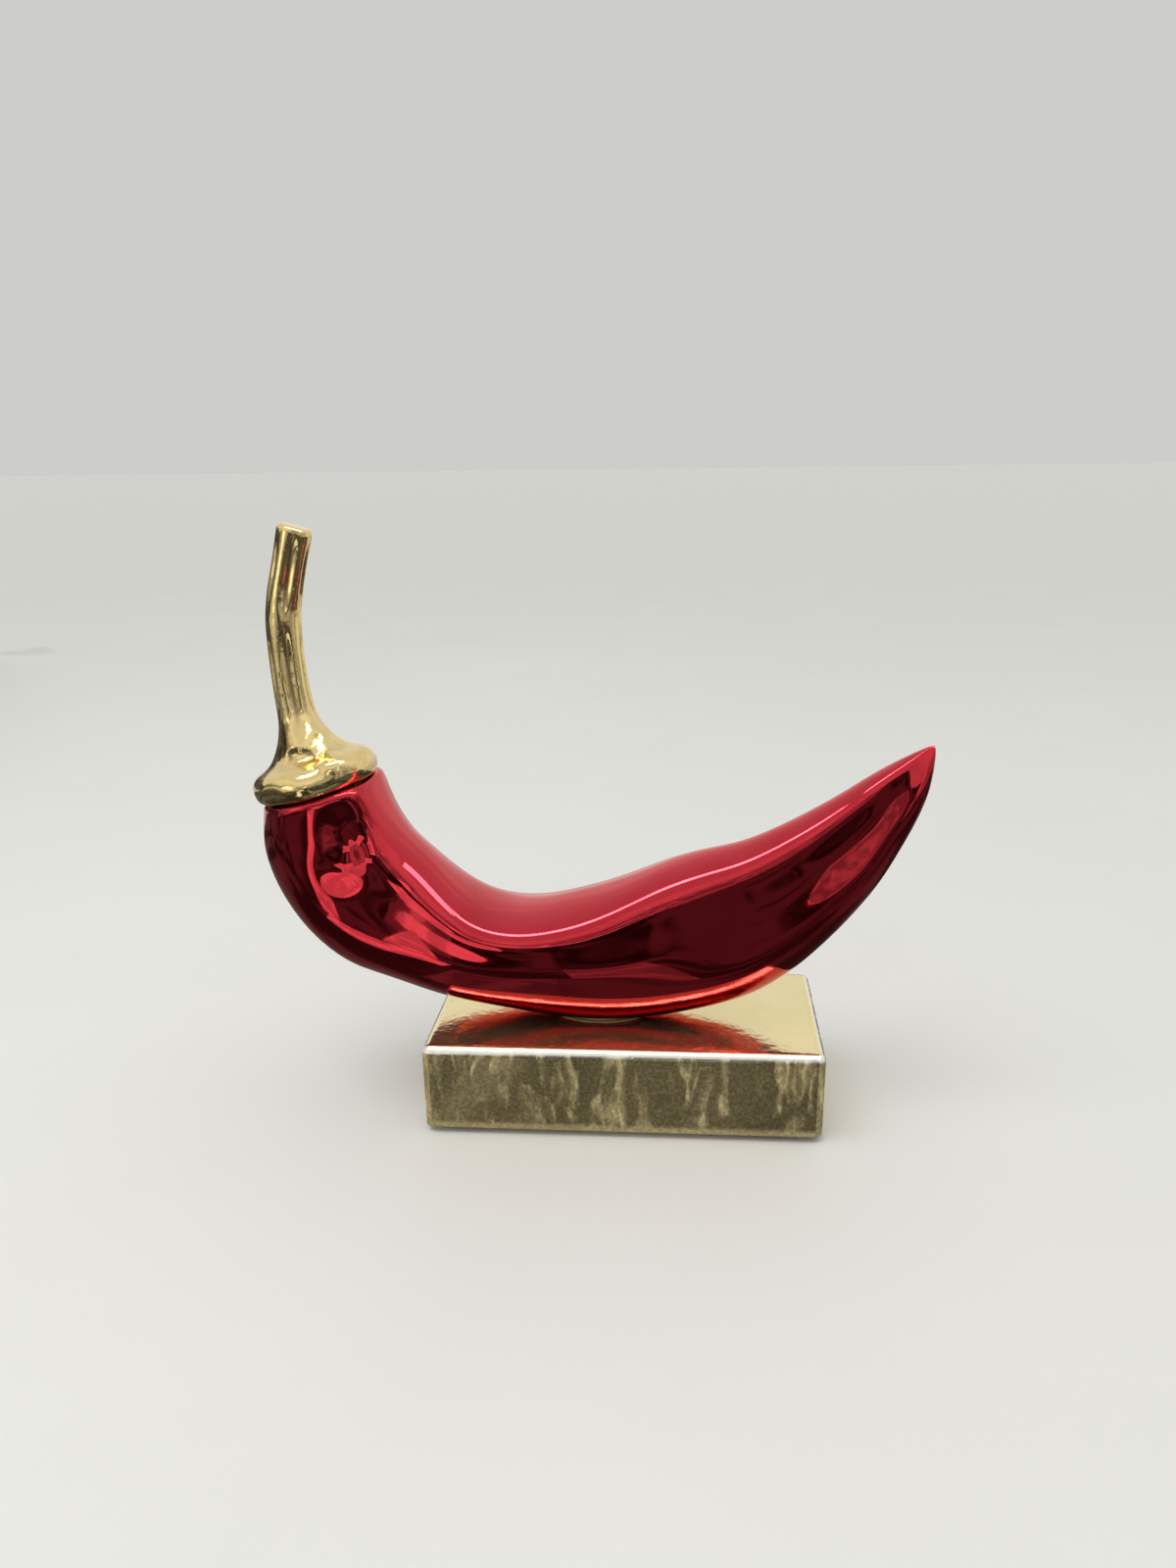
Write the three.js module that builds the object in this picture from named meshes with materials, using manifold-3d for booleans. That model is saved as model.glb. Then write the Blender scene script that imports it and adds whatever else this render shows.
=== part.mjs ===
// Chilli pepper ornament: a red mirror-plated chilli with a gold calyx and stalk, bonded on a gold block.
// Millimetres, +Z up. The origin is on the table, under the middle of the ornament's outline.
// The chilli lies along X, its stalk at -X and its pointed tail at +X, and bends in the XZ plane.

import * as THREE from "three";
import { mergeVertices } from "three/addons/utils/BufferGeometryUtils.js";
import Module from "manifold-3d";

const wasm = await Module();
wasm.setup();

// Driving dimensions

const plinthLength = 120;
const plinthDepth = 64;
const plinthHeight = 26.4;
const plinthCornerRadius = 5;
const plinthEdgeRadius = 2.6;
const plinthDraft = 0.4; // each side leans in by this much from the top to the foot

const padRadius = 6;
const padThickness = 1.5;
const padInset = 11; // from each side of the block to the pad's centre

const touchGap = 0.3; // clearance between two pieces that are glued or pressed together
const runOver = 1.2; // how far a cutter passes a face, and a joined bar enters its other half
const glueThickness = 0.4;
const glueLength = 28;
const glueWidth = 16;
const glueX = -8; // the middle of the seat, from the block's middle

const plinthX = 10.2; // the block stands right of the outline's middle, because the head reaches further
const chilliY = -2.5; // the chilli's plane of bend, a little in front of the block's middle

const plinthFoot = padThickness + touchGap;
const plinthTop = plinthFoot + plinthHeight;
const seatHeight = plinthTop + 2 * touchGap + glueThickness;

// The chilli's sections from the neck to the tail: the middle of each one, measured from the block's
// middle and the block's foot, its half size in the plane of the bend, its half depth, and how much
// narrower its upper ridges stand than its lower ones.
const bodySections = [
  { x: -92.8, z: 96.3, tall: 18.1, deep: 18.5, pinch: 0.0 },
  { x: -90.0, z: 85.2, tall: 19.7, deep: 20.0, pinch: 0.05 },
  { x: -82.9, z: 71.9, tall: 20.6, deep: 21.5, pinch: 0.15 },
  { x: -72.9, z: 62.7, tall: 20.1, deep: 22.0, pinch: 0.2 },
  { x: -61.5, z: 55.6, tall: 17.7, deep: 21.5, pinch: 0.1 },
  { x: -48.0, z: 48.7, tall: 16.4, deep: 21.0, pinch: 0.0 },
  { x: -30.0, z: 45.8, tall: 17.2, deep: 21.0, pinch: -0.05 },
  { x: -9.5, z: 46.7, tall: 20.1, deep: 21.0, pinch: 0.05 },
  { x: 10.9, z: 51.6, tall: 22.6, deep: 21.5, pinch: 0.2 },
  { x: 29.1, z: 57.8, tall: 22.8, deep: 21.0, pinch: 0.35 },
  { x: 44.3, z: 65.7, tall: 19.3, deep: 19.0, pinch: 0.4 },
  { x: 58.0, z: 76.2, tall: 15.3, deep: 15.5, pinch: 0.4 },
  { x: 69.7, z: 87.2, tall: 12.1, deep: 12.0, pinch: 0.35 },
  { x: 79.0, z: 97.5, tall: 8.9, deep: 8.8, pinch: 0.3 },
  { x: 86.2, z: 105.3, tall: 6.0, deep: 5.8, pinch: 0.3 },
  { x: 91.2, z: 112.3, tall: 1.4, deep: 1.6, pinch: 0.3 },
];
const bodySquareness = 3; // 2 would be an ellipse; above it the flanks are flatter and the ridges fuller
const bodyRings = 46;
const bodySides = 28;
const shoulderRadius = 2.8; // the rounding between the neck's flank and its end face
const shoulderRings = 4;

// The cap is one casting: a spigot for the neck's socket, the calyx with its rolled rim, and the stalk.
// Each ring is set by its middle, measured as the body's sections are, its radius, and how far it follows
// the calyx's lobes or the stalk's ribs.
const [neck, belowNeck] = bodySections;
const neckTilt = Math.atan2(belowNeck.x - neck.x, neck.z - belowNeck.z); // the neck's axis leans to -X
const spigotRadius = 8;
const spigotLength = 9;
const calyxOffset = -1; // the calyx sits this far off the neck's axis, towards -X
const calyxLobes = 5;
const calyxRings = [
  { up: 0.0, radius: 16.4, lobe: 0.01 },
  { up: 0.6, radius: 17.5, lobe: 0.015 },
  { up: 2.4, radius: 18.2, lobe: 0.02 },
  { up: 4.4, radius: 18.0, lobe: 0.03 },
  { up: 6.2, radius: 17.0, lobe: 0.04 },
  { up: 8.0, radius: 15.6, lobe: 0.06 },
  { up: 10.4, radius: 12.9, lobe: 0.08 },
  { up: 13.0, radius: 10.3, lobe: 0.07 },
];
const stalkRings = [
  { x: -99.2, z: 116.4, radius: 7.5 },
  { x: -100.1, z: 119.4, radius: 6.1 },
  { x: -100.9, z: 124.0, radius: 5.6 },
  { x: -101.5, z: 131.0, radius: 5.3 },
  { x: -101.9, z: 138.0, radius: 5.2 },
  { x: -101.8, z: 144.0, radius: 5.2 },
  { x: -101.5, z: 150.0, radius: 5.1 },
  { x: -100.4, z: 157.0, radius: 5.0 },
  { x: -99.0, z: 164.0, radius: 5.0 },
  { x: -97.9, z: 170.0, radius: 4.9 },
  { x: -97.1, z: 175.5, radius: 4.9 },
  { x: -96.8, z: 177.6, radius: 4.2 },
];
const stalkRibs = 5;
const stalkRibDepth = 0.06;
const capSides = 30;

const plating = { metalness: 1, roughness: 0.08 };
const redPlating = new THREE.MeshStandardMaterial({ color: 0x9c0618, ...plating });
const goldPlating = new THREE.MeshStandardMaterial({ color: 0xd9bf7c, ...plating });
const epoxy = new THREE.MeshStandardMaterial({ color: 0xd8cfae, roughness: 0.3, metalness: 0 });
const felt = new THREE.MeshStandardMaterial({ color: 0x24221f, roughness: 0.95, metalness: 0 });

// A closed skin through rings of points, with a point in the middle of each end.
function skin(rings) {
  const sides = rings[0].length;
  const points = rings.flat();
  const faces = [];
  for (let r = 0; r + 1 < rings.length; r++) {
    for (let s = 0; s < sides; s++) {
      const next = (s + 1) % sides;
      const a = r * sides + s;
      const b = r * sides + next;
      const c = a + sides;
      const d = b + sides;
      faces.push(a, b, d, a, d, c);
    }
  }
  const middle = (ring) =>
    ring.reduce((sum, p) => sum.add(p), new THREE.Vector3()).divideScalar(sides);
  const first = points.push(middle(rings[0])) - 1;
  const last = points.push(middle(rings.at(-1))) - 1;
  const lastRing = (rings.length - 1) * sides;
  for (let s = 0; s < sides; s++) {
    const next = (s + 1) % sides;
    faces.push(first, next, s);
    faces.push(last, lastRing + s, lastRing + next);
  }
  const geometry = new THREE.BufferGeometry().setFromPoints(points);
  geometry.setIndex(faces);
  return geometry;
}

// A closed geometry as a solid that can be cut and joined, and the solid as a geometry again.
function solid(geometry) {
  const bare = new THREE.BufferGeometry();
  bare.setAttribute("position", geometry.getAttribute("position").clone());
  if (geometry.index) bare.setIndex(geometry.index.clone());
  const merged = mergeVertices(bare, 1e-4);
  const vertProperties = new Float32Array(merged.attributes.position.array);
  const triVerts = new Uint32Array(merged.index.array);
  return new wasm.Manifold(new wasm.Mesh({ numProp: 3, vertProperties, triVerts }));
}

function geometryOf(made) {
  const mesh = made.getMesh();
  const geometry = new THREE.BufferGeometry();
  geometry.setAttribute("position", new THREE.BufferAttribute(mesh.vertProperties, 3));
  geometry.setIndex(new THREE.BufferAttribute(mesh.triVerts, 1));
  geometry.computeVertexNormals();
  return geometry;
}

// A round bar along the neck's axis, from one distance above the neck's end face to another.
function neckBar(radius, from, to) {
  const bar = new THREE.CylinderGeometry(radius, radius, to - from, capSides);
  bar.rotateX(Math.PI / 2);
  bar.translate(0, 0, (from + to) / 2);
  bar.rotateY(-neckTilt);
  bar.translate(neckEnd.x, neckEnd.y, neckEnd.z);
  return bar;
}

const depthways = new THREE.Vector3(0, 1, 0);
const neckAxis = new THREE.Vector3(-Math.sin(neckTilt), 0, Math.cos(neckTilt));
const neckEnd = new THREE.Vector3(neck.x, 0, neck.z).addScaledVector(neckAxis, shoulderRadius);

// One ring of the chilli's skin: flat flanks, full ridges, and the upper ridges pinched together.
function bodyRing(middle, along, size) {
  const above = new THREE.Vector3().crossVectors(along, depthways);
  const shaped = (v) => Math.sign(v) * Math.abs(v) ** (2 / bodySquareness);
  const ring = [];
  for (let s = 0; s < bodySides; s++) {
    const angle = (s / bodySides) * 2 * Math.PI;
    const height = shaped(Math.sin(angle));
    const width = shaped(Math.cos(angle)) * (1 - (size.pinch * (1 + height)) / 2);
    const point = middle.clone();
    point.addScaledVector(above, height * size.tall);
    point.addScaledVector(depthways, width * size.deep);
    ring.push(point);
  }
  return ring;
}

function chilliSkin() {
  const through = (list) => new THREE.CatmullRomCurve3(list, false, "catmullrom", 0.5);
  const spine = through(bodySections.map((s) => new THREE.Vector3(s.x, 0, s.z)));
  const sizes = through(bodySections.map((s) => new THREE.Vector3(s.tall, s.deep, s.pinch)));
  const rings = [];
  for (let r = 0; r < shoulderRings; r++) {
    const turn = (r / shoulderRings) * (Math.PI / 2);
    const middle = spine.getPoint(0).addScaledVector(neckAxis, shoulderRadius * Math.cos(turn));
    const inset = shoulderRadius * (1 - Math.sin(turn));
    const size = { tall: neck.tall - inset, deep: neck.deep - inset, pinch: neck.pinch };
    rings.push(bodyRing(middle, spine.getTangent(0), size));
  }
  for (let r = 0; r <= bodyRings; r++) {
    const u = r / bodyRings;
    const { x: tall, y: deep, z: pinch } = sizes.getPoint(u);
    rings.push(bodyRing(spine.getPoint(u), spine.getTangent(u), { tall, deep, pinch }));
  }
  return skin(rings);
}

// The skin is cut flat where it sits on the block, and gets the socket for the cap's spigot.
function chilliBody() {
  const seatCut = new THREE.BoxGeometry(plinthLength, plinthDepth, plinthHeight);
  seatCut.translate(0, 0, seatHeight - plinthFoot - plinthHeight / 2);
  const socket = neckBar(spigotRadius + touchGap, -spigotLength - touchGap, runOver);
  return geometryOf(solid(chilliSkin()).subtract(solid(seatCut)).subtract(solid(socket)));
}

// One ring of the cap, in the plane square to the given direction, waved by its lobes or ribs.
function capRing(middle, along, radius, waves, waveDepth) {
  const side = new THREE.Vector3().crossVectors(depthways, along);
  const ring = [];
  for (let s = 0; s < capSides; s++) {
    const angle = (s / capSides) * 2 * Math.PI;
    const reach = radius * (1 + waveDepth * Math.cos(waves * angle));
    const point = middle.clone();
    point.addScaledVector(side, reach * Math.cos(angle));
    point.addScaledVector(depthways, reach * Math.sin(angle));
    ring.push(point);
  }
  return ring;
}

function calyxAndStalk() {
  const sideways = new THREE.Vector3().crossVectors(depthways, neckAxis);
  const foot = neckEnd.clone().addScaledVector(neckAxis, touchGap);
  foot.addScaledVector(sideways, calyxOffset);
  const rings = calyxRings.map(({ up, radius, lobe }) => {
    const middle = foot.clone().addScaledVector(neckAxis, up);
    return capRing(middle, neckAxis, radius, calyxLobes, lobe);
  });
  const line = stalkRings.map((s) => new THREE.Vector3(s.x, 0, s.z));
  const course = new THREE.CatmullRomCurve3(line, false, "catmullrom", 0.5);
  stalkRings.forEach(({ radius }, i) => {
    const along = course.getTangent(i / (stalkRings.length - 1));
    rings.push(capRing(line[i], along, radius, stalkRibs, stalkRibDepth));
  });
  const spigot = neckBar(spigotRadius, -spigotLength, runOver);
  return geometryOf(solid(skin(rings)).add(solid(spigot)));
}

function roundedRectangle(length, depth, radius) {
  const shape = new THREE.Shape();
  const x = length / 2;
  const y = depth / 2;
  shape.moveTo(-x + radius, -y);
  shape.lineTo(x - radius, -y);
  shape.absarc(x - radius, -y + radius, radius, -Math.PI / 2, 0);
  shape.lineTo(x, y - radius);
  shape.absarc(x - radius, y - radius, radius, 0, Math.PI / 2);
  shape.lineTo(-x + radius, y);
  shape.absarc(-x + radius, y - radius, radius, Math.PI / 2, Math.PI);
  shape.lineTo(-x, -y + radius);
  shape.absarc(-x + radius, -y + radius, radius, Math.PI, 1.5 * Math.PI);
  return shape;
}

// The block's upper edges are rounded and its lower ones sharp, so the lower rounding is cut away.
function plinthBlock() {
  const edge = plinthEdgeRadius;
  const outline = roundedRectangle(
    plinthLength - 2 * edge,
    plinthDepth - 2 * edge,
    plinthCornerRadius - edge,
  );
  const block = new THREE.ExtrudeGeometry(outline, {
    depth: plinthHeight - edge,
    bevelThickness: edge,
    bevelSize: edge,
    bevelSegments: 5,
    curveSegments: 6,
  });
  const place = block.getAttribute("position");
  for (let i = 0; i < place.count; i++) {
    const lean = plinthDraft * (1 - place.getZ(i) / plinthHeight);
    place.setX(i, place.getX(i) * (1 - (2 * lean) / plinthLength));
    place.setY(i, place.getY(i) * (1 - (2 * lean) / plinthDepth));
  }
  const footCut = new THREE.BoxGeometry(2 * plinthLength, 2 * plinthDepth, 2 * edge);
  footCut.translate(0, 0, -edge);
  return geometryOf(solid(block).subtract(solid(footCut)));
}

function glueBed() {
  const bed = new THREE.CylinderGeometry(1, 1, glueThickness, 32);
  bed.rotateX(Math.PI / 2);
  bed.scale(glueLength / 2, glueWidth / 2, 1);
  return geometryOf(solid(bed));
}

function piece(name, geometry, material, x, y, z) {
  const mesh = new THREE.Mesh(geometry, material);
  mesh.name = name;
  mesh.position.set(x, y, z);
  return mesh;
}

const ornament = new THREE.Group();
ornament.position.x = plinthX;

ornament.add(piece("plinth", plinthBlock(), goldPlating, 0, 0, plinthFoot));
ornament.add(piece("chilli_body", chilliBody(), redPlating, 0, chilliY, plinthFoot));
ornament.add(piece("calyx_and_stalk", calyxAndStalk(), goldPlating, 0, chilliY, plinthFoot));

const glueMiddle = plinthTop + touchGap + glueThickness / 2;
ornament.add(piece("glue_bed", glueBed(), epoxy, glueX, chilliY, glueMiddle));

for (const [frontOrBack, sideY] of [["front", -1], ["back", 1]]) {
  for (const [leftOrRight, sideX] of [["left", -1], ["right", 1]]) {
    const pad = new THREE.CylinderGeometry(padRadius, padRadius, padThickness, 32);
    pad.rotateX(Math.PI / 2);
    const x = sideX * (plinthLength / 2 - padInset);
    const y = sideY * (plinthDepth / 2 - padInset);
    ornament.add(piece(`felt_pad_${frontOrBack}_${leftOrRight}`, pad, felt, x, y, padThickness / 2));
  }
}

export default ornament;
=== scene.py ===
import bmesh
import bpy
import math
from mathutils import Matrix, Vector


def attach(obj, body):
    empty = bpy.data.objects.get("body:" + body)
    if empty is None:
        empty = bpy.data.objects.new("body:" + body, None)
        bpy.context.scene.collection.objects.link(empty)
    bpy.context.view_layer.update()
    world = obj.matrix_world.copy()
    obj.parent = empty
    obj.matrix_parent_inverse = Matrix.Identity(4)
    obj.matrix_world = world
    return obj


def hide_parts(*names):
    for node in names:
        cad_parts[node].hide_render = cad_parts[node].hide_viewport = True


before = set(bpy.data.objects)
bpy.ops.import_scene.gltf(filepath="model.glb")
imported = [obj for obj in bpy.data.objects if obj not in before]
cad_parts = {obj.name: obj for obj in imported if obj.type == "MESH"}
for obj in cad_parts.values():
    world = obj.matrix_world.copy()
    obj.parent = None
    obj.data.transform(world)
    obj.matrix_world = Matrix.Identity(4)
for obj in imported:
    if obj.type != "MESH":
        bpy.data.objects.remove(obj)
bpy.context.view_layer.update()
mm = 0.001


# Felt pads: four thin round pads, punched from dark felt and stuck under the block near its corners.
# They lift the block off the table, and their cut edges have gone round.
pad_radius = 6.0
pad_thickness = 1.5
pad_rounding = 0.35
pad_places = {
    "felt_pad_front_left": (-38.8, -21.0),
    "felt_pad_front_right": (59.2, -21.0),
    "felt_pad_back_left": (-38.8, 21.0),
    "felt_pad_back_right": (59.2, 21.0),
}
felt_dark = (0.010, 0.009, 0.008, 1)
felt_pale = (0.055, 0.050, 0.045, 1)


class Value:
    """A shader socket that can be written in Python sums."""

    def __init__(self, finish, socket):
        self.finish = finish
        self.socket = socket

    def sum_with(self, operation, left, right):
        return self.finish.node("ShaderNodeMath", {"operation": operation}, {0: left, 1: right})

    def __add__(self, other):
        return self.sum_with("ADD", self, other)

    def __radd__(self, other):
        return self.sum_with("ADD", other, self)

    def __sub__(self, other):
        return self.sum_with("SUBTRACT", self, other)

    def __rsub__(self, other):
        return self.sum_with("SUBTRACT", other, self)

    def __mul__(self, other):
        return self.sum_with("MULTIPLY", self, other)

    def __rmul__(self, other):
        return self.sum_with("MULTIPLY", other, self)


class Finish:
    """A finish built up node by node: a Principled material, or the pale surround as a world."""

    def __init__(self, name, kind="materials", shader="Principled BSDF", **fixed):
        self.look = getattr(bpy.data, kind).new(name)
        self.look.use_nodes = True
        self.shader = self.look.node_tree.nodes[shader]
        for socket, value in fixed.items():
            self.shader.inputs[socket.replace("_", " ")].default_value = value

    def node(self, kind, settings, values, output=0):
        made = self.look.node_tree.nodes.new(kind)
        for name, setting in settings.items():
            setattr(made, name, setting)
        for name, value in values.items():
            if isinstance(value, Value):
                self.look.node_tree.links.new(value.socket, made.inputs[name])
            else:
                made.inputs[name].default_value = value
        return Value(self, made.outputs[output])

    def feed(self, **sockets):
        for name, value in sockets.items():
            self.look.node_tree.links.new(value.socket, self.shader.inputs[name.replace("_", " ")])

    @property
    def place(self):
        return self.node("ShaderNodeTexCoord", {}, {}, "Object")

    def noise(self, size, detail=2.0, stretch=(1, 1, 1), twist=0.0):
        """Noise of so many mm, drawn out along an axis whose stretch is under 1."""
        vector = self.node("ShaderNodeMapping", {}, {"Vector": self.place, "Scale": stretch})
        values = {"Vector": vector, "Scale": 1 / (size * mm), "Detail": detail, "Distortion": twist}
        return self.node("ShaderNodeTexNoise", {}, values, "Fac")

    def step(self, value, low, high):
        """0 where the value is at the low end, 1 at the high end, and smooth between them."""
        values = {"Value": value, "From Min": low, "From Max": high}
        return self.node("ShaderNodeMapRange", {"interpolation_type": "SMOOTHSTEP"}, values)

    def blend(self, factor, first, second):
        return self.node("ShaderNodeMix", {"data_type": "RGBA"}, {0: factor, 6: first, 7: second}, 2)

    def relief(self, height, depth):
        """Bumps so many mm deep."""
        values = {"Height": height, "Distance": depth * mm, "Strength": 1.0}
        self.feed(Normal=self.node("ShaderNodeBump", {}, values, "Normal"))


felt = Finish("dark felt", Roughness=0.95, Sheen_Weight=0.4)
felt_fibres = felt.noise(0.5, 4, twist=1.5)
felt.feed(Base_Color=felt.blend(felt_fibres, felt_dark, felt_pale))
felt.relief(felt_fibres, 0.15)


def put_down(piece):
    """Leaves edit mode and puts the piece's place into its mesh."""
    if bpy.context.object.mode == "EDIT":
        bpy.ops.object.mode_set(mode="OBJECT")
    bpy.ops.object.select_all(action="DESELECT")
    piece.select_set(True)
    bpy.context.view_layer.objects.active = piece
    bpy.ops.object.transform_apply(location=True, rotation=True, scale=True)


for node, (x, y) in pad_places.items():
    bpy.ops.object.select_all(action="DESELECT")
    bpy.ops.mesh.primitive_cylinder_add(
        vertices=48, radius=pad_radius * mm, depth=pad_thickness * mm,
        location=(x * mm, y * mm, pad_thickness / 2 * mm))
    pad = bpy.context.object
    pad.name = node.replace("felt_pad", "pad_of_felt")
    put_down(pad)
    bpy.ops.object.mode_set(mode="EDIT")
    bpy.ops.mesh.select_all(action="SELECT")
    bpy.ops.mesh.bevel(offset=pad_rounding * mm, segments=3, affect="EDGES")
    put_down(pad)
    bpy.ops.object.shade_smooth_by_angle(angle=math.radians(50))
    pad.data.materials.append(felt.look)
    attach(pad, "root")
    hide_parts(node)


# The block: a rectangular casting with rounded upper edges and corners, plated in pale mirror gold.
# The plating is thin: a little hazy and rippled on top, with grime and drawn-down streaks on its sides.
touch_gap = 0.3  # between two pieces that are stuck together
block_x = 10.2
block_length = 120.0
block_depth = 64.0
block_height = 26.4
block_foot = pad_thickness + touch_gap
block_corner = 5.0
block_edge = 2.6
block_foot_edge = 0.5
block_draft = 0.4
block_slack = 0.1  # how far from its top or foot a vertex may be and still count as on it
block_gold_deep = (0.80, 0.68, 0.33, 1)
block_gold_pale = (0.94, 0.83, 0.50, 1)
# The near white of the rounded upper edge is a painted highlight, standing in for the lamp's line along it.
block_edge_painted_highlight = (0.97, 0.94, 0.82, 1)
block_grime = (0.50, 0.37, 0.15, 1)

bpy.ops.object.select_all(action="DESELECT")
bpy.ops.mesh.primitive_cube_add(
    size=1, location=(block_x * mm, 0, (block_foot + block_height / 2) * mm),
    scale=(block_length * mm, block_depth * mm, block_height * mm))
block = bpy.context.object
block.name = "gold_block"
put_down(block)


def pick(test):
    """In edit mode, selects the vertices whose place passes the test, and what lies between them."""
    shape = bmesh.from_edit_mesh(bpy.context.object.data)
    for vertex in shape.verts:
        vertex.select_set(bool(test(vertex.co)))
    shape.select_mode = {"VERT"}
    shape.select_flush(True)
    bmesh.update_edit_mesh(bpy.context.object.data)


bpy.ops.object.mode_set(mode="EDIT")
bpy.ops.mesh.select_all(action="DESELECT")
shape = bmesh.from_edit_mesh(block.data)
for edge in shape.edges:
    ends = [vertex.co for vertex in edge.verts]
    edge.select_set(abs(ends[0].z - ends[1].z) > 1 * mm)
bmesh.update_edit_mesh(block.data)
bpy.ops.mesh.bevel(offset=block_corner * mm, segments=10, affect="EDGES")
pick(lambda co: co.z > (block_foot + block_height - block_slack) * mm)
bpy.ops.mesh.bevel(offset=block_edge * mm, segments=8, affect="EDGES")
pick(lambda co: co.z < (block_foot + block_slack) * mm)
bpy.ops.transform.resize(
    value=(1 - 2 * block_draft / block_length, 1 - 2 * block_draft / block_depth, 1),
    center_override=(block_x * mm, 0, block_foot * mm))
bpy.ops.mesh.bevel(offset=block_foot_edge * mm, segments=3, affect="EDGES")
put_down(block)
bpy.ops.object.shade_smooth_by_angle(angle=math.radians(40))


def finish_with(piece, kind, **settings):
    """Adds a modifier to the piece and applies it."""
    modifier = piece.modifiers.new(kind.lower(), kind)
    for name, setting in settings.items():
        setattr(modifier, name, setting)
    bpy.context.view_layer.objects.active = piece
    bpy.ops.object.modifier_apply(modifier=modifier.name)


finish_with(block, "WEIGHTED_NORMAL", keep_sharp=True)

block_gold = Finish("block gold")
normal = block_gold.node("ShaderNodeNewGeometry", {}, {}, "Normal")
rightward, forward, upward = [
    block_gold.node("ShaderNodeSeparateXYZ", {}, {0: normal}, axis) for axis in "XYZ"]
height = block_gold.node("ShaderNodeSeparateXYZ", {}, {0: block_gold.place}, "Z")
# Where it lies: on the sides, the top, the rounded upper edge, the upright corners or the rubbed foot.
sides = 1 - block_gold.step(upward, 0.3, 0.9)
top = block_gold.step(upward, 0.9, 0.99)
# The rounded upper edge, which is painted near white: a painted highlight.
edges = block_gold.step(upward, 0.04, 0.25) * (1 - block_gold.step(upward, 0.80, 0.97))
cornering = rightward * forward
corners = block_gold.step(cornering * cornering, 0.002, 0.04)
rubbed = block_gold.step(height, (block_foot + 3.0) * mm, (block_foot + 1.0) * mm)
# What shows there: broad runs down the sides with finer wisps in them, flecks, grime, haze and grain.
runs = block_gold.step(block_gold.noise(5.5, 4, (1, 1, 0.32), 1.0), 0.47, 0.68)
wisps = block_gold.step(block_gold.noise(1.6, 4, (1, 1, 0.30), 0.8), 0.45, 0.70)
flecks = block_gold.step(block_gold.noise(0.9, 4), 0.56, 0.74)
grime = block_gold.step(block_gold.noise(1.0, 4), 0.38, 0.62)
haze = block_gold.noise(26, 4)
grain = block_gold.noise(0.7, 3)
streaks = sides * runs * (0.45 + wisps * 0.60) * (1 - rubbed) + rubbed * 0.6
worn = streaks + corners * sides * 0.5 * (1 - rubbed) + flecks * 0.22 + top * 0.08
plated = block_gold.blend(haze, block_gold_deep, block_gold_pale)
grimy = block_gold.blend(sides * (0.15 + grime * 0.55), plated, block_grime)
block_gold.feed(
    # Base colour: the rounded upper edge is painted near white as a painted highlight.
    Base_Color=block_gold.blend(edges, grimy, block_edge_painted_highlight),
    Metallic=1 - worn * 0.60,
    Roughness=0.06 + haze * 0.08 + grain * 0.05 + streaks * 0.35 + edges * 0.12)
swells = block_gold.noise(8, 2, (1, 1, 0.4), 0.5)
ripples = block_gold.noise(2.2, 3) * (0.10 + top * 0.40)
block_gold.relief(swells + ripples + grain * 0.02, 0.16)
block.data.materials.append(block_gold.look)
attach(block, "root")
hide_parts("plinth")


# The glue: a thin bed of clear-set epoxy between the chilli's flat seat and the block's top.
# It is squeezed out to a rounded rim and is the only thing that holds the chilli.
chilli_y = -2.5
glue_x = block_x - 8.0
glue_length = 28.0
glue_width = 16.0
glue_thickness = 0.4
glue_rounding = 0.15
glue_middle = block_foot + block_height + touch_gap + glue_thickness / 2
epoxy_amber = (0.55, 0.48, 0.32, 1)
epoxy_clear = (0.75, 0.70, 0.55, 1)

bpy.ops.object.select_all(action="DESELECT")
bpy.ops.mesh.primitive_cylinder_add(
    vertices=64, radius=0.5, depth=glue_thickness * mm,
    location=(glue_x * mm, chilli_y * mm, glue_middle * mm), scale=(glue_length * mm, glue_width * mm, 1))
glue = bpy.context.object
glue.name = "epoxy_bed"
put_down(glue)
bpy.ops.object.mode_set(mode="EDIT")
bpy.ops.mesh.select_all(action="SELECT")
bpy.ops.mesh.bevel(offset=glue_rounding * mm, segments=3, affect="EDGES")
put_down(glue)
bpy.ops.object.shade_smooth_by_angle(angle=math.radians(50))
epoxy = Finish("set epoxy", Roughness=0.25, IOR=1.5)
epoxy_cloud = epoxy.noise(3, 3)
epoxy.feed(Base_Color=epoxy.blend(epoxy_cloud, epoxy_amber, epoxy_clear))
epoxy.relief(epoxy_cloud, 0.05)
glue.data.materials.append(epoxy.look)
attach(glue, "root")
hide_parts("glue_bed")


# The chilli: one casting from the neck's rounded shoulder to the upturned tail, in red mirror plating.
# Ridges run along it above and below, and its surface waves a little and is dented in the neck, as a form
# shaped by hand is. A flat seat is cut under it for the glue.
wave_length = 30.0
wave_height = 2.0
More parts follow.
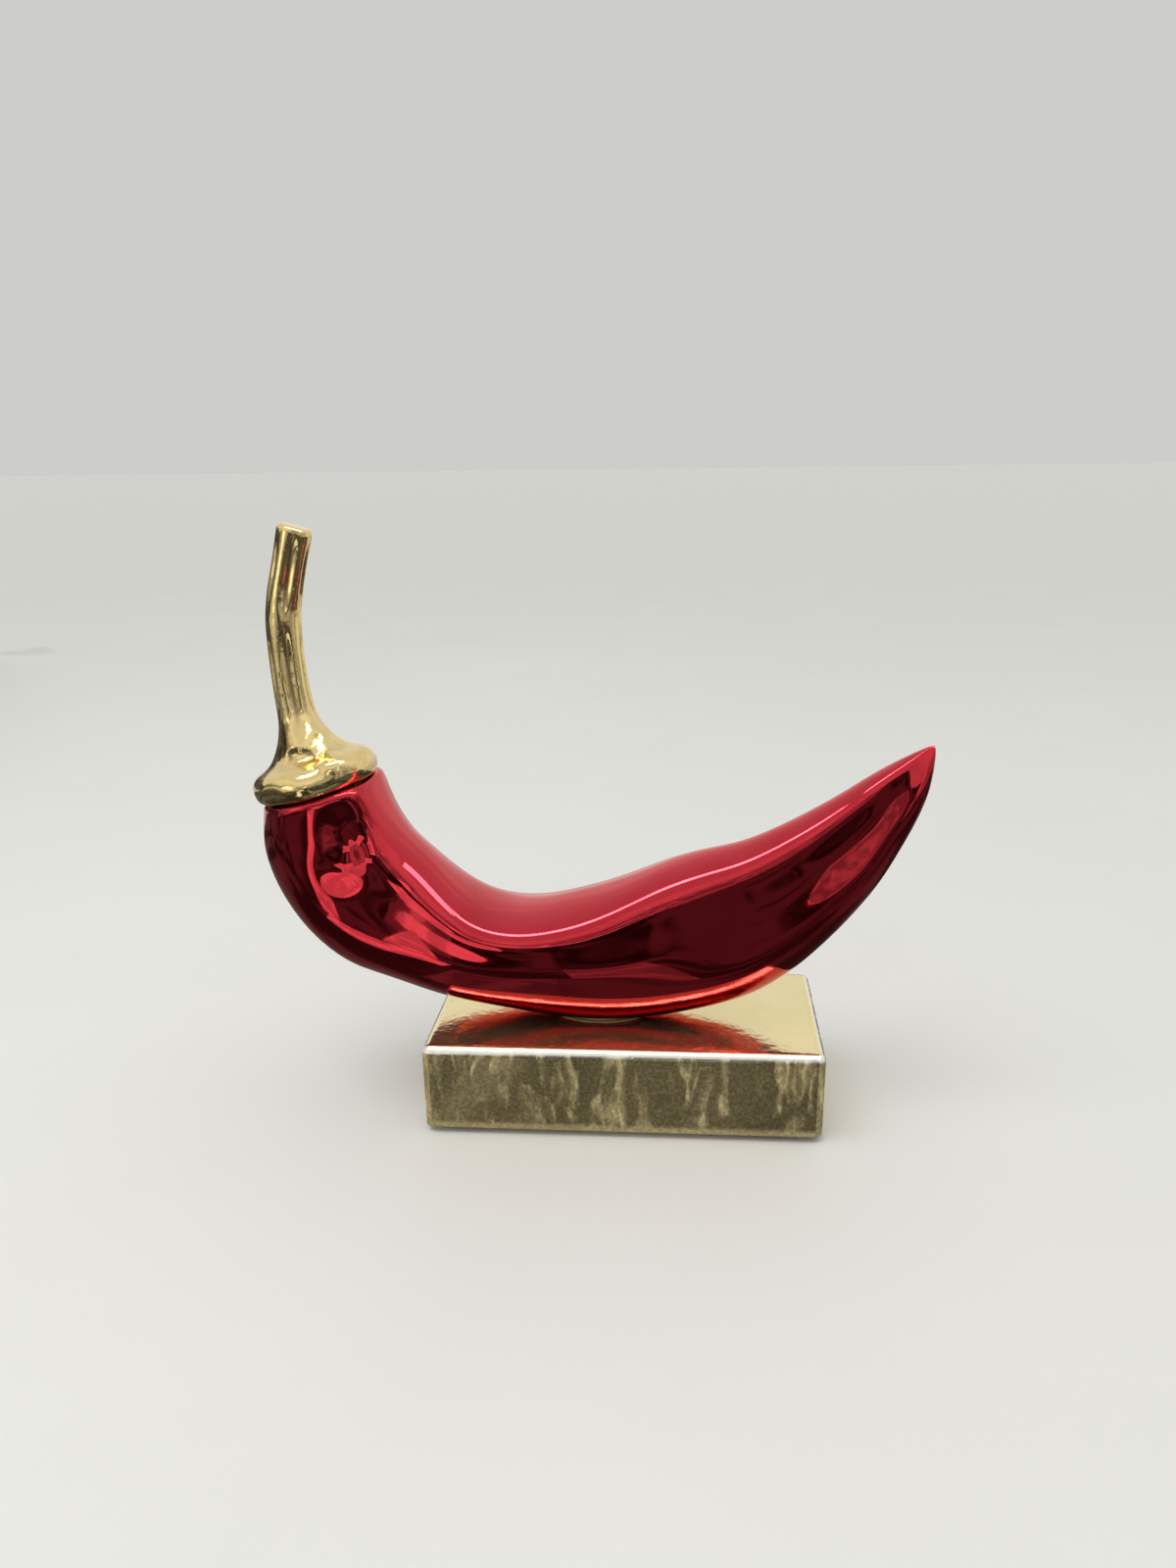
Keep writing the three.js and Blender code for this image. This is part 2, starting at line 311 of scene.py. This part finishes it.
# Each section: its middle along X and Z, from the block's middle and foot, its half size in the plane of
# the bend, its half depth, how much its upper ridges are pinched together, and how far its sides are dished.
chilli_sections = [
    (-92.8, 96.3, 18.4, 18.5, 0.00, 0.0),
    (-90.8, 84.9, 20.8, 20.0, 0.05, 0.2),
    (-83.9, 71.2, 21.8, 21.5, 0.15, 0.3),
    (-73.7, 61.7, 21.4, 22.0, 0.20, 0.3),
    (-62.0, 54.7, 18.3, 21.5, 0.10, 0.2),
    (-48.2, 48.0, 16.2, 21.0, 0.00, 0.0),
    (-30.0, 45.1, 16.8, 21.0, -0.05, -0.1),
    (-9.5, 46.2, 19.6, 21.0, 0.05, -0.1),
    (10.9, 51.4, 22.1, 21.5, 0.20, 0.0),
    (29.4, 57.1, 22.9, 21.0, 0.35, 0.6),
    (45.1, 64.4, 19.9, 19.0, 0.40, 0.9),
    (59.0, 75.0, 16.0, 15.5, 0.40, 1.0),
    (70.6, 86.3, 12.6, 12.0, 0.35, 0.9),
    (79.5, 97.0, 9.0, 8.8, 0.30, 0.7),
    (86.1, 105.3, 5.6, 5.8, 0.30, 0.4),
    (91.9, 113.5, 0.9, 1.0, 0.30, 0.0),
]
neck_round = [(2.8, 4.0), (2.8, 1.7), (1.6, 0.4)]  # how far past the first section, and how far in
neck_lean = math.atan2(2.8, 11.1)  # the neck's axis goes over to the left by 2.8 in 11.1 up
# The cage of a section, half depth by half height, from the crest over the upper ridge and the side to the
# lower ridge and the keel. Smoothing draws it in to a squarish section.
cage = [
    (0.0, 1.052), (0.944, 0.895), (0.965, 0.406), (1.03, 0.05), (0.985, -0.30), (0.86, -0.70), (0.0, -1.28),
]
dished = [0.0, -0.04, 0.13, 0.26, 0.13, -0.05, 0.0]  # how far in each of these goes at a full dish
ring_sides = 2 * (len(cage) - 1)
slack = 0.02  # how far off its corner a vertex may be, as a share of a half size or in mm
# Dents in its front: middle along X and Z in the frame, width and height of the floor of the dent, how far
# it goes right, back and up, and how wide the soft slope round it is.
chilli_dents = [
    (-71.0, 91.0, 5.0, 6.0, (0, 1.4, 0), 9.0),
    (-74.5, 80.5, 1.5, 4.0, (0, 0.75, 0), 9.5),
]
red_deep = (0.43, 0.0035, 0.014, 1)
red_bright = (0.59, 0.009, 0.027, 1)
red_glancing = (1.0, 0.46, 0.47, 1)

neck_up = Vector((-math.sin(neck_lean), 0, math.cos(neck_lean)))
neck_turn = neck_lean - math.pi / 2
places = [Vector((block_x + x, chilli_y, block_foot + z)) * mm for x, z, *_ in chilli_sections]
sizes = [Vector(section[2:]) for section in chilli_sections]


def sharpened(values):
    """Smoothing pulls each ring towards its neighbours, so each is set that much further out."""
    out = list(values)
    for i in range(1, len(values) - 1):
        out[i] = values[i] - (values[i - 1] - 2 * values[i] + values[i + 1]) / 6
    return out


ring_places = sharpened(places)
ring_sizes = sharpened(sizes)
ring_turns = [neck_turn]
for i in range(1, len(places)):
    onward = places[min(i + 1, len(places) - 1)] - places[i - 1]
    ring_turns.append(math.atan2(onward.z, onward.x))
for beyond, inset in reversed(neck_round):
    ring_places.insert(0, places[0] + neck_up * beyond * mm)
    ring_sizes.insert(0, sizes[0] - Vector((inset, inset, 0, 0)))
    ring_turns.insert(0, neck_turn)

bpy.ops.object.select_all(action="DESELECT")
bpy.ops.mesh.primitive_circle_add(
    vertices=ring_sides, radius=1 * mm, fill_type="NGON", location=ring_places[0],
    rotation=(0, math.pi / 2, 0))
chilli = bpy.context.object
chilli.name = "red_chilli"
put_down(chilli)
bpy.ops.object.mode_set(mode="EDIT")

# The first ring's corners, from the crest down, go to their places in the cage.
first = ring_places[0]
for corner, (wide, high) in enumerate(cage):
    angle = math.radians(90 - 360 / ring_sides * corner)
    widening = wide / math.cos(angle) if 0 < corner < len(cage) - 1 else 1
    pick(lambda co: abs(co.z - first.z - math.sin(angle) * mm) < 0.01 * mm)
    bpy.ops.transform.resize(value=(1, widening, 1), center_override=first)
    bpy.ops.transform.translate(value=(0, 0, (high - math.sin(angle)) * mm))
bpy.ops.mesh.select_all(action="SELECT")


def turn(angle, middle):
    """Turns what is selected about the depth axis, so that the ring's +X side goes up for a plus angle."""
    bpy.ops.transform.rotate(value=angle, orient_axis="Y", center_override=middle)


half = Vector((1, 1))
for i, (middle, wanted) in enumerate(zip(ring_places, ring_sizes)):
    if i:
        bpy.ops.mesh.extrude_region_move(TRANSFORM_OT_translate={"value": middle - ring_places[i - 1]})
        turn(-ring_turns[i - 1], middle)
    bpy.ops.transform.resize(value=(1, wanted[1] / half[1], wanted[0] / half[0]), center_override=middle)
    turn(ring_turns[i], middle)
    half = wanted


def pick_pair(middle, angle, half, corner):
    """Selects the two mirrored vertices of one ring that stand at one corner of its cage."""
    along = Vector((math.cos(angle), 0, math.sin(angle)))
    above = Vector((-math.sin(angle), 0, math.cos(angle)))
    wide, high = cage[corner]

    def there(co):
        away = co - middle
        off_wide = abs(abs(away.y) / (half.y * mm) - wide)
        off_high = abs(away.dot(above) / (half.x * mm) - high)
        return abs(away.dot(along)) < slack * mm and off_wide < slack and off_high < slack

    pick(there)


for middle, half, angle in zip(ring_places, ring_sizes, ring_turns):
    for corner in range(1, len(cage) - 1):
        pick_pair(middle, angle, half, corner)
        pinched = 1 - half[2] * (1 + cage[corner][1]) / 2
        narrowed = pinched * (1 - half[3] * dished[corner])
        bpy.ops.transform.resize(value=(1, narrowed, 1), center_override=middle)
bpy.ops.mesh.select_all(action="SELECT")
bpy.ops.mesh.normals_make_consistent(inside=False)
put_down(chilli)
finish_with(chilli, "SUBSURF", levels=4, render_levels=4)
waves = bpy.data.textures.new("hand_waves", "CLOUDS")
waves.noise_scale = wave_length * mm
waves.noise_depth = 0
finish_with(
    chilli, "DISPLACE", texture=waves, texture_coords="LOCAL", strength=wave_height * mm, mid_level=0.5)
bpy.ops.object.mode_set(mode="EDIT")
bpy.ops.mesh.select_all(action="SELECT")
bpy.ops.mesh.bisect(
    plane_co=(0, 0, (glue_middle + glue_thickness / 2 + touch_gap) * mm), plane_no=(0, 0, 1),
    clear_inner=True, use_fill=True)
put_down(chilli)


def press(x, z, width, height, push, softness):
    """In edit mode, pushes an oval of the piece's front by so many mm right, back and up."""
    pick(lambda co: co.y < chilli_y * mm and math.hypot(
        (co.x / mm - x) / (width / 2), (co.z / mm - z) / (height / 2)) < 1)
    bpy.ops.transform.translate(
        value=Vector(push) * mm, use_proportional_edit=True, proportional_edit_falloff="SMOOTH",
        proportional_size=softness * mm)


bpy.ops.object.mode_set(mode="EDIT")
for dent in chilli_dents:
    press(*dent)
put_down(chilli)
bpy.ops.object.shade_smooth_by_angle(angle=math.radians(60))

red = Finish(
    "red mirror plating", Metallic=1.0, Specular_Tint=red_glancing, Coat_Roughness=0.02, Coat_IOR=1.5)
drift = red.noise(30, 2)
peel = red.noise(2.5, 2)
specks = red.step(red.noise(0.6, 2), 0.62, 0.72)
red.feed(
    Base_Color=red.blend(drift, red_deep, red_bright),
    Roughness=0.03 + peel * 0.03 + specks * 0.10,
    Coat_Weight=0.4 + drift * 0.4)
red.relief(peel, 0.006)
chilli.data.materials.append(red.look)
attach(chilli, "root")
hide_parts("chilli_body")


# The cap: calyx and stalk cast in one, plated in a yellower gold, with painted shade darkening its hollows,
# and bonded on the neck. The calyx has a rolled, wavy rim and a bulge in front over a crease, and the stalk
# has five grooves and a knuckle half way up.
cap_shift = -1.0  # the calyx sits this far to the right of the neck's axis
cap_sides = 20
# Calyx rings: how far up the neck's axis, and radius.
calyx_rings = [
    (0.0, 14.6), (-0.5, 17.2), (0.2, 19.2), (3.6, 20.0), (6.6, 19.1),
    (8.3, 16.9), (9.1, 14.4), (10.4, 12.2), (12.4, 10.6), (14.4, 9.2),
]
calyx_groove = 0.03  # the stalk's grooves run out this shallow over the calyx
# Stalk rings: middle along X and Z, as the chilli's, radius, and the depth of the grooves as a share of it.
stalk_rings = [
    (-98.9, 116.4, 7.4, 0.02), (-99.6, 119.6, 6.2, 0.08), (-100.4, 124.0, 5.8, 0.26),
    (-101.2, 130.0, 5.6, 0.38), (-101.8, 137.0, 5.5, 0.42), (-102.1, 143.0, 5.5, 0.34),
    (-102.2, 147.5, 5.5, 0.10), (-102.1, 151.0, 5.5, 0.04), (-101.8, 154.5, 5.4, 0.16),
    (-101.1, 158.5, 5.5, 0.38), (-99.9, 164.0, 5.3, 0.44), (-98.5, 170.0, 5.3, 0.36),
    (-97.3, 175.0, 5.5, 0.10), (-96.8, 177.4, 5.4, 0.03), (-96.6, 178.0, 4.2, 0.02),
]
groove_every = 4  # corners of a ring from one groove to the next
# Swellings, dents and creases of its front, given as the chilli's dents are.
cap_dents = [
    (-86.5, 117.0, 2.0, 2.0, (0, -1.6, -0.3), 8.0),
    (-72.5, 112.5, 2.0, 2.0, (0.4, -0.8, 1.0), 10.0),
    (-95.5, 112.0, 2.0, 2.0, (-0.2, 0.8, 0), 6.0),
    (-83.0, 103.5, 2.0, 2.0, (0, -0.7, 0), 7.0),
    (-94.0, 101.5, 2.0, 2.0, (0, 0.7, 0.3), 5.0),
    (-86.5, 112.3, 5.0, 1.5, (0, 1.0, 0), 3.0),
    (-82.3, 115.0, 1.5, 5.0, (0, 0.9, 0), 3.0),
    (-76.0, 112.0, 4.0, 2.0, (0, -0.8, 0.4), 4.0),
]
cap_gold_deep = (0.68, 0.50, 0.18, 1)
cap_gold_pale = (0.88, 0.72, 0.38, 1)
# The dark of the hollows is painted shade.
cap_hollow_painted_shade = (0.13, 0.06, 0.03, 1)

neck_side = Vector((math.cos(neck_lean), 0, math.sin(neck_lean)))
cap_foot = places[0] + neck_up * (neck_round[0][0] + touch_gap) * mm + neck_side * cap_shift * mm
cap_places = [cap_foot + neck_up * up * mm for up, _ in calyx_rings]
cap_places += [Vector((block_x + x, chilli_y, block_foot + z)) * mm for x, z, _, _ in stalk_rings]
cap_radii = [radius for _, radius in calyx_rings] + [radius for _, _, radius, _ in stalk_rings]
cap_grooves = [calyx_groove] * len(calyx_rings) + [groove for _, _, _, groove in stalk_rings]
cap_leans = [neck_lean] * len(calyx_rings)
for i in range(len(calyx_rings), len(cap_places)):
    onward = cap_places[min(i + 1, len(cap_places) - 1)] - cap_places[i - 1]
    cap_leans.append(math.atan2(-onward.x, onward.z))

bpy.ops.object.select_all(action="DESELECT")
bpy.ops.mesh.primitive_circle_add(
    vertices=cap_sides, radius=1 * mm, fill_type="NGON", location=cap_places[0])
cap = bpy.context.object
cap.name = "gold_cap"
put_down(cap)
bpy.ops.object.mode_set(mode="EDIT")
bpy.ops.mesh.select_all(action="SELECT")
reach = 1.0
for i, (middle, radius) in enumerate(zip(cap_places, cap_radii)):
    if i:
        bpy.ops.mesh.extrude_region_move(TRANSFORM_OT_translate={"value": middle - cap_places[i - 1]})
        turn(-cap_leans[i - 1], middle)
    bpy.ops.transform.resize(value=(radius / reach, radius / reach, 1), center_override=middle)
    turn(cap_leans[i], middle)
    reach = radius


def pick_grooves(middle, radius, lean):
    """Selects the corners of one ring of the cap that lie in a groove."""
    up = Vector((-math.sin(lean), 0, math.cos(lean)))
    side = Vector((math.cos(lean), 0, math.sin(lean)))

    def in_groove(co):
        away = co - middle
        if abs(away.dot(up)) > slack * mm or away.length > 1.05 * radius * mm:
            return False
        angle = math.atan2(away.y, away.dot(side))
        return round(angle / (2 * math.pi / cap_sides)) % groove_every == 0

    pick(in_groove)


for middle, radius, groove, lean in zip(cap_places, cap_radii, cap_grooves, cap_leans):
    pick_grooves(middle, radius, lean)
    bpy.ops.transform.resize(value=(1 - groove, 1 - groove, 1 - groove), center_override=middle)
bpy.ops.mesh.select_all(action="SELECT")
bpy.ops.mesh.normals_make_consistent(inside=False)
put_down(cap)
finish_with(cap, "SUBSURF", levels=3, render_levels=3)
bpy.ops.object.mode_set(mode="EDIT")
for dent in cap_dents:
    press(*dent)
put_down(cap)
bpy.ops.object.shade_smooth_by_angle(angle=math.radians(60))

cap_gold = Finish("cap gold", Metallic=1.0)
cap_haze = cap_gold.noise(8, 3)
cap_grain = cap_gold.noise(0.5, 3)
bend = cap_gold.node("ShaderNodeNewGeometry", {}, {}, "Pointiness")
# Hollows, found by pointiness, are darkened towards this colour: painted shade.
shaded_hollows = cap_gold.step(bend, 0.502, 0.484)
cap_plated = cap_gold.blend(cap_haze, cap_gold_deep, cap_gold_pale)
cap_gold.feed(
    Base_Color=cap_gold.blend(shaded_hollows * 0.65, cap_plated, cap_hollow_painted_shade),
    Roughness=0.06 + cap_haze * 0.08 + cap_grain * 0.05 + shaded_hollows * 0.15)
cap_gold.relief(cap_gold.noise(4, 2) + cap_grain * 0.05, 0.18)
cap.data.materials.append(cap_gold.look)
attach(cap, "root")
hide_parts("calyx_and_stalk")


# The studio: a plain pale floor and surround, one soft lamp, and cards that only the plating sees.
# The cards are plain dark and pale surfaces, laid flat and hung round the ornament as a studio's are.
floor_size = 80
floor_grey = (0.72, 0.72, 0.70, 1)
floor_pale = (0.76, 0.76, 0.74, 1)
card_warmth = (1.0, 0.97, 0.92)
hung_about = 0.06  # the height that the hung cards and the lamp face
surround_light = 0.82
surround_in_view = 0.61
room_radius = 1.3
room_height = 1.8
room_middle = 0.4
room_opening = 0.25  # the room is open further back than this
# Cards laid flat: name, middle and size in metres, least and most brightness, and size of the mottle in mm.
laid_cards = [
    ("dark_table", (0.02, -0.16, -0.002), (1.2, 0.88), 0.04, 0.14, 110),
    ("wall_foot", (0.02, 0.68, -0.001), (1.2, 0.8), 0.5, 0.7, 200),
    ("room_floor", (0, 0, -0.5), (2.7, 2.7), 0.30, 0.60, 200),
    ("lamp_strip", (0, -0.18, 1.1), (1.2, 0.18), 11.0, 14.0, 200),
    ("lamp_end", (0.76, -0.25, 1.1), (0.32, 0.50), 6.0, 8.0, 200),
    ("table_sheen", (-0.045, -0.085, -0.001), (0.07, 0.09), 0.13, 0.22, 30),
    ("table_patch", (0.03, -0.28, -0.001), (0.06, 0.30), 0.22, 0.40, 60),
    ("table_shine", (-0.125, -0.175, -0.001), (0.05, 0.07), 0.9, 1.6, 20),
]
# Cards hung upright: name, degrees to the right of the front and up, how far off, size, and the rest alike.
hung_cards = [
    ("pale_wall", 180, 20, 1.2, (4.0, 1.4), 0.80, 0.95, 500),
    ("window_left", -52, 12, 1.0, (0.30, 0.34), 1.2, 1.9, 200),
    ("window_right", 40, 14, 1.0, (0.10, 0.30), 1.2, 1.9, 200),
    ("dark_stand", 8, 6, 0.85, (0.72, 0.55), 0.02, 0.12, 150),
    ("dark_side", -118, 0, 1.1, (1.15, 0.50), 0.02, 0.12, 150),
    ("near_card", 10, 20, 0.30, (0.14, 0.10), 0.3, 0.65, 20),
    ("low_lamp", -4.5, 15.5, 0.75, (0.197, 0.13), 0.8, 1.8, 60),
    ("table_glint", -36, -6, 0.23, (0.040, 0.060), 0.9, 1.6, 20),
    ("tall_window", -8, 33, 1.0, (0.45, 0.24), 0.8, 1.3, 90),
    ("near_glint", -22.5, 1.9, 0.30, (0.085, 0.048), 1.0, 1.5, 15),
]

bpy.ops.object.select_all(action="DESELECT")
bpy.ops.mesh.primitive_plane_add(size=floor_size)
floor = bpy.context.object
floor.name = "floor"
floor_finish = Finish("pale floor", Roughness=0.6)
floor_finish.feed(Base_Color=floor_finish.blend(floor_finish.noise(90, 3), floor_grey, floor_pale))
floor.data.materials.append(floor_finish.look)
floor.visible_glossy = False


def card(piece, name, dark, bright, mottle, rise=0.0):
    """Makes the piece a card that is seen only in reflections, mottled between two brightnesses.

    It can rise in brightness to a third one, from near the table to a metre up.
    """
    piece.name = name
    glow = Finish(
        name, Base_Color=(0, 0, 0, 1), Roughness=1.0, Specular_IOR_Level=0.0, Emission_Strength=1.0)
    least, most, risen = [(*[tone * part for part in card_warmth], 1) for tone in (dark, bright, rise)]
    shade = glow.blend(glow.step(glow.noise(mottle, 1, twist=0.5), 0.40, 0.62), least, most)
    if rise:
        up = glow.node("ShaderNodeSeparateXYZ", {}, {0: glow.place}, "Z")
        shade = glow.blend(glow.step(up, 0.15, 1.0), shade, risen)
    glow.feed(Emission_Color=shade)
    piece.data.materials.append(glow.look)
    for way in ("camera", "diffuse", "shadow", "transmission", "volume_scatter"):
        setattr(piece, "visible_" + way, False)


def set_up(size, place, tilt):
    """Sets up a plane of that size at a place, tilted in its own right."""
    bpy.ops.object.select_all(action="DESELECT")
    bpy.ops.mesh.primitive_plane_add(size=1)
    piece = bpy.context.object
    piece.scale = (*size, 1)
    put_down(piece)
    piece.rotation_euler = tilt
    piece.location = place
    put_down(piece)
    return piece


for name, place, size, dark, bright, mottle in laid_cards:
    card(set_up(size, place, (0, 0, 0)), name, dark, bright, mottle)

for name, azimuth, elevation, distance, size, dark, bright, mottle in hung_cards:
    across, up = math.radians(azimuth), math.radians(elevation)
    way = Vector((math.sin(across) * math.cos(up), -math.cos(across) * math.cos(up), math.sin(up)))
    place = way * distance + Vector((0, 0, hung_about))
    card(set_up(size, place, (math.radians(90) + up, 0, across)), name, dark, bright, mottle)

bpy.ops.object.select_all(action="DESELECT")
bpy.ops.mesh.primitive_cylinder_add(
    vertices=96, radius=room_radius, depth=room_height, end_fill_type="NOTHING",
    location=(0, 0, room_middle))
room = bpy.context.object
put_down(room)
bpy.ops.object.mode_set(mode="EDIT")
pick(lambda co: co.y > room_opening)
bpy.ops.mesh.delete(type="VERT")
put_down(room)
card(room, "room", 0.20, 0.70, 300, rise=1.0)

key_lamp = bpy.data.lights.new("soft_key", "AREA")
key_lamp.shape = "RECTANGLE"
key_lamp.size = 0.7
key_lamp.size_y = 0.5
key_lamp.energy = 3
key = bpy.data.objects.new("soft_key", key_lamp)
bpy.context.scene.collection.objects.link(key)
key.location = (-0.35, -0.35, 0.95)
key.rotation_euler = (Vector((0, 0, hung_about)) - key.location).to_track_quat("-Z", "Y").to_euler()
key.visible_glossy = False

surround = Finish("pale_surround", "worlds", "Background", Color=(1.0, 1.0, 0.97, 1))
in_view = surround.node("ShaderNodeLightPath", {}, {}, "Is Camera Ray")
surround.feed(Strength=surround_light - in_view * (surround_light - surround_in_view))
bpy.context.scene.world = surround.look
bpy.context.scene.view_settings.view_transform = "Standard"

# The camera: where it stands, and how far it is turned to the left, looks down and rolls.
camera_place = (0.0292, -0.3761, 0.1967)
camera_turn = math.radians(4.63)
camera_fall = math.radians(14.15)
camera_roll = math.radians(-0.67)
lens = bpy.data.cameras.new("camera")
lens.sensor_width = 36
lens.lens = 29.25
camera = bpy.data.objects.new("camera", lens)
bpy.context.scene.collection.objects.link(camera)
aim = Matrix.Rotation(camera_turn, 4, "Z") @ Matrix.Rotation(math.radians(90) - camera_fall, 4, "X")
camera.matrix_world = Matrix.Translation(camera_place) @ aim @ Matrix.Rotation(camera_roll, 4, "Z")
bpy.context.scene.camera = camera
